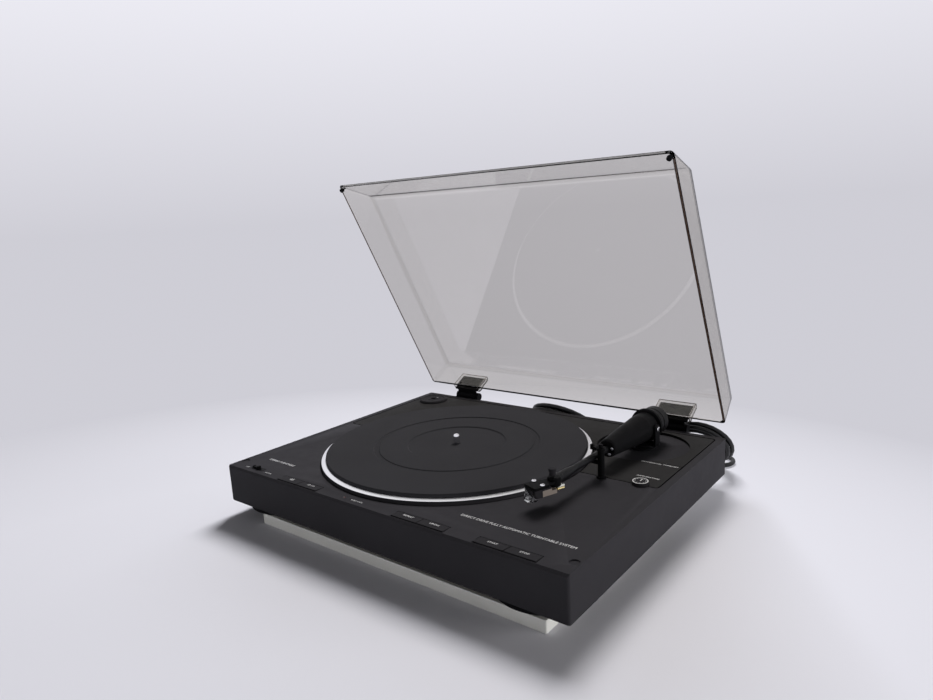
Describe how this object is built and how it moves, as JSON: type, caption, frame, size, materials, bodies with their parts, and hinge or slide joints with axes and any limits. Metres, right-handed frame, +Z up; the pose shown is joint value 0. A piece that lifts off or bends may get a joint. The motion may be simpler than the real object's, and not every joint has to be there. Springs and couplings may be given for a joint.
{
  "type": "turntable",
  "caption": "Low record player with a round platter, a pivoted tonearm on its rest, flush touch keys, an open hinged dust cover, a board beneath and coiled leads behind.",
  "frame": {"origin": "underside of the board, on the cabinet's centre line and mid depth", "axes": "+X to the right, +Y to the back, +Z up"},
  "size_m": [0.434, 0.4364, 0.3611],
  "materials": {
    "black_plastic": "satin",
    "black_paint": "satin",
    "black_metal": "satin",
    "rubber": "matte",
    "aluminium": "satin",
    "chrome": "polished",
    "pale_board": "painted",
    "smoked_acrylic": "gloss",
    "brass": "satin",
    "clear_plastic": "gloss",
    "circuit_green": "satin",
    "iron": "matte",
    "red_lens": "gloss"
  },
  "bodies": {
    "cabinet": {"base_board": "pale_board", "foot_front_left": "rubber", "foot_front_right": "rubber", "foot_back_left": "rubber", "foot_back_right": "rubber", "bottom_cover": "black_paint", "plinth": "black_plastic", "deck_panel": "black_plastic", "bearing_housing": "brass", "motor_stator": "circuit_green", "transformer": "iron", "control_board": "circuit_green", "indicator_lamp": "red_lens", "plate_rod": "iron", "arm_base": "black_metal", "arm_rest": "black_plastic", "hinge_bracket_left": "black_metal", "hinge_bracket_right": "black_metal", "mains_relief": "rubber", "audio_relief": "rubber", "mains_cord": "rubber", "mains_coil": "rubber", "mains_plug": "black_plastic", "audio_cord": "rubber", "audio_coil": "rubber", "audio_plug": "black_plastic"},
    "platter": {"platter": "aluminium", "platter_mat": "rubber", "spindle": "chrome", "rotor_magnet": "iron"},
    "adaptor": {"centre_adaptor": "black_plastic"},
    "dial": {"antiskate_dial": "black_plastic"},
    "switch": {"power_switch": "black_plastic"},
    "speed_key_left": {"speed_plate_left": "black_plastic"},
    "speed_key_right": {"speed_plate_right": "black_plastic"},
    "cue_key_left": {"cue_plate_left": "black_plastic"},
    "cue_key_right": {"cue_plate_right": "black_plastic"},
    "start_key_left": {"start_plate_left": "black_plastic"},
    "start_key_right": {"start_plate_right": "black_plastic"},
    "yoke": {"arm_yoke": "black_metal", "pivot_screw_left": "chrome", "pivot_screw_right": "chrome"},
    "arm": {"arm_housing": "black_plastic", "arm_tube": "black_metal", "headshell": "black_plastic", "lock_knob": "black_plastic", "cartridge": "black_plastic", "stylus": "black_plastic", "stylus_guard": "clear_plastic"},
    "weight": {"counterweight": "black_metal"},
    "latch": {"rest_latch": "black_plastic"},
    "cover": {"dust_cover": "smoked_acrylic", "cover_bumper_left": "rubber", "cover_bumper_right": "rubber", "hinge_tongue_left": "black_metal", "hinge_tongue_right": "black_metal"}
  },
  "joints": [
    {"name": "cover_hinge", "type": "hinge", "parent": "cabinet", "child": "cover", "pos_m": [0, 0.1807, 0.059], "axis": [1, 0, 0], "range_deg": [0, 62.4]},
    {"name": "platter_spin", "type": "hinge", "parent": "cabinet", "child": "platter", "pos_m": [-0.0243, -0.0029, 0.05], "axis": [0, 0, -1], "continuous": true},
    {"name": "adaptor_lift", "type": "slide", "parent": "cabinet", "child": "adaptor", "axis": [0, 0, 1], "range_m": [0, 0.012]},
    {"name": "dial_turn", "type": "hinge", "parent": "cabinet", "child": "dial", "pos_m": [0.1907, 0.0078, 0.055], "axis": [0, 0, 1], "range_deg": [-150, 150]},
    {"name": "switch_slide", "type": "slide", "parent": "cabinet", "child": "switch", "axis": [1, 0, 0], "range_m": [0, 0.005]},
    {"name": "speed_key_left_press", "type": "hinge", "parent": "cabinet", "child": "speed_key_left", "pos_m": [-0.1161, -0.1595, 0.0531], "axis": [1, 0, 0], "range_deg": [0, 5], "stiffness_Nm_per_rad": 0.1, "springref_deg": -2.86},
    {"name": "speed_key_right_press", "type": "hinge", "parent": "cabinet", "child": "speed_key_right", "pos_m": [-0.0855, -0.1595, 0.0531], "axis": [1, 0, 0], "range_deg": [0, 5], "stiffness_Nm_per_rad": 0.1, "springref_deg": -2.86},
    {"name": "cue_key_left_press", "type": "hinge", "parent": "cabinet", "child": "cue_key_left", "pos_m": [0.0489, -0.1595, 0.0531], "axis": [1, 0, 0], "range_deg": [0, 5], "stiffness_Nm_per_rad": 0.1, "springref_deg": -2.86},
    {"name": "cue_key_right_press", "type": "hinge", "parent": "cabinet", "child": "cue_key_right", "pos_m": [0.0795, -0.1595, 0.0531], "axis": [1, 0, 0], "range_deg": [0, 5], "stiffness_Nm_per_rad": 0.1, "springref_deg": -2.86},
    {"name": "start_key_left_press", "type": "hinge", "parent": "cabinet", "child": "start_key_left", "pos_m": [0.1413, -0.1595, 0.0531], "axis": [1, 0, 0], "range_deg": [0, 5], "stiffness_Nm_per_rad": 0.1, "springref_deg": -2.86},
    {"name": "start_key_right_press", "type": "hinge", "parent": "cabinet", "child": "start_key_right", "pos_m": [0.1719, -0.1595, 0.0531], "axis": [1, 0, 0], "range_deg": [0, 5], "stiffness_Nm_per_rad": 0.1, "springref_deg": -2.86},
    {"name": "arm_swing", "type": "hinge", "parent": "cabinet", "child": "yoke", "pos_m": [0.1475, 0.109, 0.06], "axis": [0, 0, 1], "range_deg": [-38, 0]},
    {"name": "arm_lift", "type": "hinge", "parent": "yoke", "child": "arm", "pos_m": [0.1475, 0.109, 0.0785], "axis": [-0.9997, 0.0236, 0], "range_deg": [0, 2]},
    {"name": "weight_slide", "type": "slide", "parent": "arm", "child": "weight", "axis": [0.0236, 0.9997, 0], "range_m": [0, 0.005]},
    {"name": "latch_turn", "type": "hinge", "parent": "cabinet", "child": "latch", "pos_m": [0.1524, 0.00296, 0.087], "axis": [0, 0, 1], "range_deg": [0, 100]}
  ]
}
